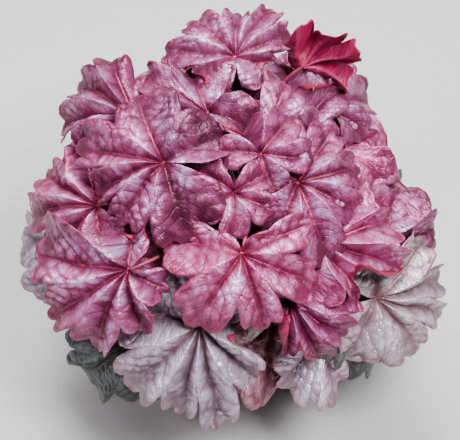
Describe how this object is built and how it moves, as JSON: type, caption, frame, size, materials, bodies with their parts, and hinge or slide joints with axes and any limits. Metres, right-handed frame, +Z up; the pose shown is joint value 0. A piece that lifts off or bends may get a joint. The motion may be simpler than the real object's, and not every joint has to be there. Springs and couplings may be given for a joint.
{
  "type": "potted heuchera plant",
  "caption": "Bushy garden perennial with a mound of lobed, ruffled rose, plum and silver leaves on long stalks, growing in a plain round nursery pot",
  "frame": {"origin": "the middle of the pot's flat base, where it stands on the ground", "axes": "+Z is up, along the pot's axis; the plant shows its best side to -Y; +X is to the right seen from that side"},
  "size_m": [0.327, 0.3272, 0.324],
  "materials": {
    "pot_plastic": "black moulded plastic with a faint satin sheen and dusty marks",
    "compost": "loose dark brown potting compost with fibres and pale grit",
    "crown_wood": "rough brown woody crown with papery old leaf bases",
    "leaf_lilac": "living leaf, pale lilac pink with plum veins",
    "leaf_magenta": "young leaf, magenta red with a crimson underside",
    "leaf_plum": "living leaf, deep plum with rose highlights on the puckers",
    "leaf_rose": "living leaf, rose pink with a silvery sheen on the puckers and dark red veins",
    "leaf_silver": "older leaf, silver with a pink cast and plum veins",
    "leaf_tan": "older leaf, silvery tan with brownish veins",
    "leaf_greyGreen": "oldest leaf, grey green with a silver sheen"
  },
  "bodies": {
    "root": {"pot": "pot_plastic", "soil": "compost", "crown": "crown_wood", "leaf_top": "leaf_lilac", "leaf_upright": "leaf_magenta", "leaf_left_upper": "leaf_plum", "leaf_top_drooping": "leaf_lilac", "leaf_heart": "leaf_rose", "leaf_crown": "leaf_plum", "leaf_front": "leaf_rose", "leaf_left_lower": "leaf_rose", "leaf_right_centre": "leaf_plum", "leaf_right": "leaf_rose", "leaf_top_left": "leaf_rose", "leaf_young_left": "leaf_lilac", "leaf_young_grey": "leaf_lilac", "leaf_young_plum": "leaf_plum", "leaf_top_right": "leaf_lilac", "leaf_top_back": "leaf_plum", "leaf_right_top": "leaf_lilac", "leaf_right_upper": "leaf_rose", "leaf_magenta": "leaf_magenta", "leaf_left": "leaf_rose", "leaf_left_inner": "leaf_magenta", "leaf_right_far": "leaf_rose", "leaf_bottom": "leaf_silver", "leaf_right_lower": "leaf_tan", "leaf_right_edge": "leaf_plum", "leaf_olive": "leaf_greyGreen", "leaf_bottom_right": "leaf_silver", "leaf_bottom_dark": "leaf_plum", "leaf_left_violet": "leaf_lilac", "leaf_right_grey": "leaf_greyGreen", "leaf_left_grey": "leaf_silver", "leaf_under_left": "leaf_plum", "leaf_bottom_left": "leaf_greyGreen", "leaf_bottom_pale": "leaf_greyGreen", "leaf_far_top_1": "leaf_lilac", "leaf_far_top_2": "leaf_rose", "leaf_far_upper_1": "leaf_rose", "leaf_far_upper_2": "leaf_plum", "leaf_far_upper_3": "leaf_rose", "leaf_far_upper_4": "leaf_plum", "leaf_far_lower_1": "leaf_silver", "leaf_far_lower_2": "leaf_plum", "leaf_far_lower_3": "leaf_tan", "leaf_far_lower_4": "leaf_silver", "leaf_far_lower_5": "leaf_plum", "leaf_far_lower_6": "leaf_tan"}
  },
  "joints": []
}
